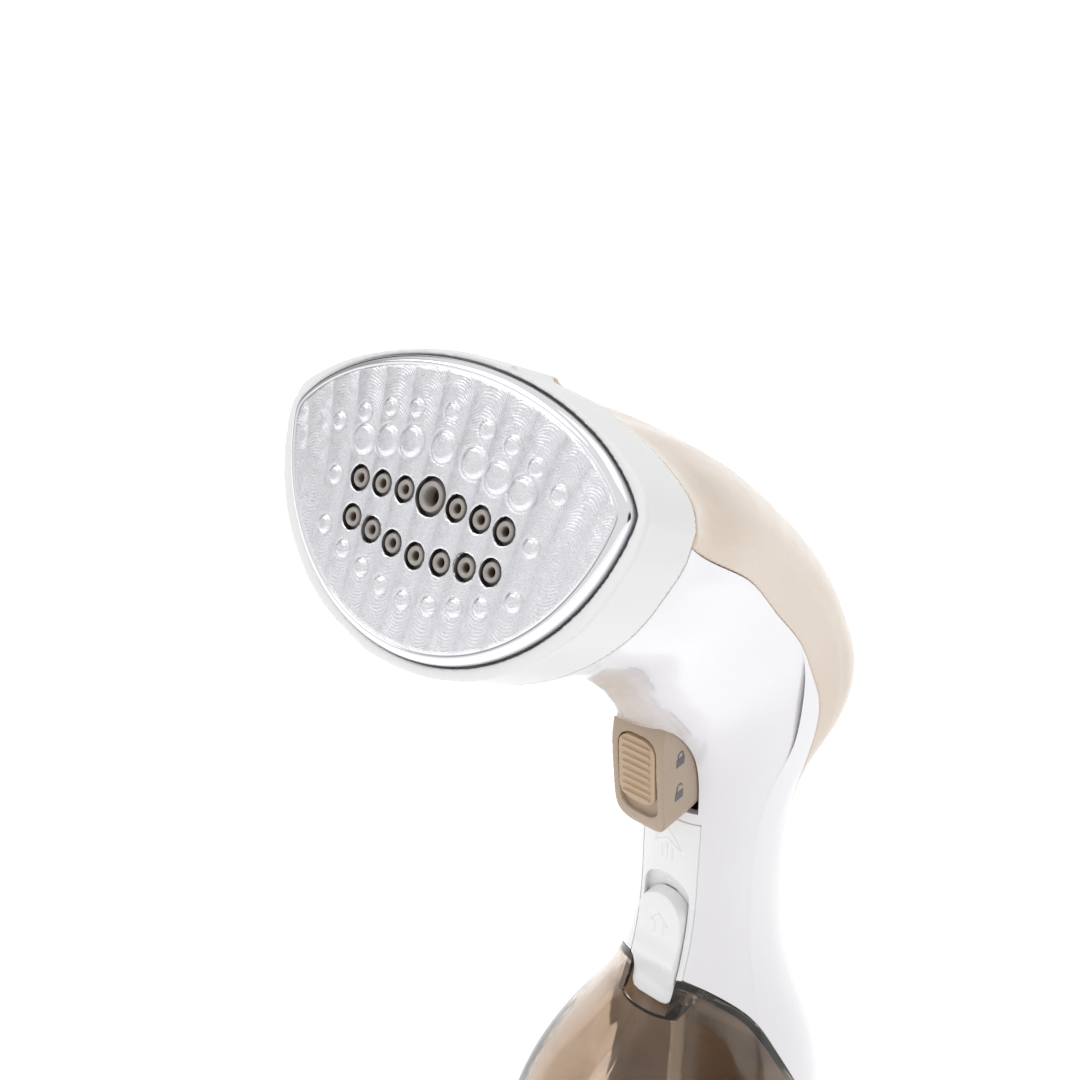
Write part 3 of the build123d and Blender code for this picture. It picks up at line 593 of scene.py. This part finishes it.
def embossed(name, strokes, target, finish, body, width=0.36):
    """Strokes of (x, z) points in mm, laid on the front of the target as low rounded ridges."""
    mesh = target.data
    tree = BVHTree.FromPolygons([v.co for v in mesh.vertices], [tuple(p.vertices) for p in mesh.polygons])
    made = bmesh.new()
    for stroke in strokes:
        points = []
        for (x0, z0), (x1, z1) in zip(stroke, stroke[1:]):
            count = max(int(sqrt((x1 - x0) ** 2 + (z1 - z0) ** 2) / 0.25), 1)
            points += [(x0 + (x1 - x0) * i / count, z0 + (z1 - z0) * i / count) for i in range(count)]
        closed = stroke[0] == stroke[-1]
        if not closed:
            points.append(stroke[-1])
        rows = []
        for i, (x, z) in enumerate(points):
            before = points[i - 1] if i or closed else points[0]
            after = points[(i + 1) % len(points)] if closed or i + 1 < len(points) else points[-1]
            along = Vector((after[0] - before[0], after[1] - before[1])).normalized()
            side = Vector((-along.y, along.x))
            row = []
            for share, rise in STROKE:
                px, pz = x + side.x * share * width / 2, z + side.y * share * width / 2
                hit = tree.ray_cast(Vector((px * MM, -0.08, pz * MM)), Vector((0, 1, 0)))[0]
                row.append(made.verts.new((px * MM, hit.y - rise * MM, pz * MM)))
            rows.append(row)
        pairs = list(zip(rows, rows[1:])) + ([(rows[-1], rows[0])] if closed else [])
        for first, second in pairs:
            for k in range(len(STROKE)):
                j = (k + 1) % len(STROKE)
                made.faces.new((first[k], first[j], second[j], second[k]))
        if not closed:
            made.faces.new(rows[0])
            made.faces.new(list(reversed(rows[-1])))
    return piece(name, closed_mesh(name, made, (finish,)), body)


steam_hood = [(-4.6, 167.6), (-4.0, 169.2), (-2.4, 171.6), (0, 174.0), (2.4, 171.6), (4.0, 169.2), (4.6, 167.6)]
steam_hood += [(3.2, 168.6), (0, 170.6), (-3.2, 168.6), (-4.6, 167.6)]
steam_lines = [[(x, 163.2), (x, 168.0 - abs(x) * 0.4)] for x in (-1.8, 0.0, 1.8)]
embossed("steam_symbol", [steam_hood, *steam_lines], panel, WHITE_PANEL, "housing")
arrow = [(-1.6, 135.2), (-1.6, 139.4), (-3.2, 139.4), (0, 143.4), (3.2, 139.4), (1.6, 139.4), (1.6, 135.2)]
embossed("unlock_arrow", [arrow], latch, WHITE_PANEL, "latch")


def padlock(centre_y, centre_z, opened):
    """The filled outline of a padlock on the trigger's side, as (y, z) loops in mm."""
    body_loop = [(-1.9, -2.3), (1.9, -2.3), (1.9, 0.5), (-1.9, 0.5)]
    lift = 0.5 if opened else 0.0
    outer, inner = 1.45, 0.85
    arch = [(cos(t), sin(t)) for t in np.linspace(0, pi, 15)]
    end = 1.3 + lift if opened else 0.4
    shackle = [(-outer, 0.4), *((-outer * c, 1.1 + lift + outer * s) for c, s in arch), (outer, end)]
    shackle += [(inner, end), *((inner * c, 1.1 + lift + inner * s) for c, s in arch), (-inner, 0.4)]
    return [[(centre_y + y, centre_z + z) for y, z in loop] for loop in (body_loop, shackle)]


def printed(name, loops, x, thickness, finish, body):
    """Filled loops of (y, z) points in mm, as a thin print on a plane of constant X."""
    made = bmesh.new()
    for loop in loops:
        corners = [Vector(p) for p in loop]
        edges = [(i, (i + 1) % len(corners)) for i in range(len(corners))]
        out, _, faces, _, _, _ = delaunay_2d_cdt(corners, edges, [], 1, 1e-6)
        low, high = ([made.verts.new((px * MM, v.x * MM, v.y * MM)) for v in out] for px in (x, x + thickness))
        for face in faces:
            made.faces.new([high[i] for i in face])
            made.faces.new([low[i] for i in reversed(face)])
        for i in range(len(corners)):
            j = (i + 1) % len(corners)
            made.faces.new((low[i], low[j], high[j], high[i]))
    return piece(name, closed_mesh(name, made, (finish,)), body, smooth=False)


locks = padlock(-18.3, 207.4, False) + padlock(-18.0, 196.0, True)
printed("lock_symbols", locks, 8.30, 0.16, PRINT, "trigger")

# ---------------------------------------------------------------- floor and light
floor_mesh = bpy.data.meshes.new("floor")
floor_mesh.from_pydata([(-40, -40, 0), (40, -40, 0), (40, 40, 0), (-40, 40, 0)], [], [(0, 1, 2, 3)])
floor = bpy.data.objects.new("floor", floor_mesh)
SCENE.collection.objects.link(floor)
paper = Shader("paper")
paper.set(Base_Color=paper.blend(paper.noise(3, 2), (0.90, 0.90, 0.90), (0.92, 0.92, 0.92)), Roughness=0.9)
paper.set(Emission_Color=(1, 1, 1, 1), Emission_Strength=0.36)
floor_mesh.materials.append(paper.material)

world = bpy.data.worlds.new("studio")
world.use_nodes = True
SCENE.world = world
tree = world.node_tree
sky = tree.nodes["Background"]
sky.inputs["Strength"].default_value = 0.85
direction = tree.nodes.new("ShaderNodeTexCoord").outputs["Generated"]


def flag(towards, inner, outer, level):
    """A dark patch of sky: level within inner degrees of a direction, fading to 1 by outer degrees."""
    facing = tree.nodes.new("ShaderNodeVectorMath")
    facing.operation = "DOT_PRODUCT"
    facing.inputs[1].default_value = Vector(towards).normalized()
    tree.links.new(direction, facing.inputs[0])
    fade = tree.nodes.new("ShaderNodeMapRange")
    fade.interpolation_type = "SMOOTHSTEP"
    for socket, number in zip(fade.inputs[1:5], (cos(radians(outer)), cos(radians(inner)), 1.0, level)):
        socket.default_value = number
    tree.links.new(facing.outputs["Value"], fade.inputs[0])
    return fade.outputs[0]


FLAGS = [
    ((0.95, 0.10, 0.15), 10, 26, 0.05),  # streak in the right of the plate's rim
    ((-0.88, 0.44, 0.12), 12, 28, 0.10),  # crescents beside the plate's bumps
    ((-0.95, -0.25, 0.30), 5, 34, 0.45),  # soft gradient across the plate's flutes
]
light = flag(*FLAGS[0])
for dark_patch in FLAGS[1:]:
    product = tree.nodes.new("ShaderNodeMath")
    product.operation = "MULTIPLY"
    tree.links.new(light, product.inputs[0])
    tree.links.new(flag(*dark_patch), product.inputs[1])
    light = product.outputs[0]
tree.links.new(light, sky.inputs["Color"])


def softbox(name, place, aim, size, power):
    """A rectangular area light that faces aim."""
    data = bpy.data.lights.new(name, "AREA")
    data.shape = "RECTANGLE"
    data.size, data.size_y = size
    data.energy = power
    lamp = bpy.data.objects.new(name, data)
    lamp.location = place
    lamp.rotation_euler = (Vector(aim) - Vector(place)).to_track_quat("-Z", "Y").to_euler()
    SCENE.collection.objects.link(lamp)


softbox("key", (-0.9, -0.7, 1.5), (0, 0, 0.2), (0.9, 0.9), 5)
softbox("top", (0.3, 0.4, 1.8), (0, 0, 0.2), (1.2, 1.2), 4)
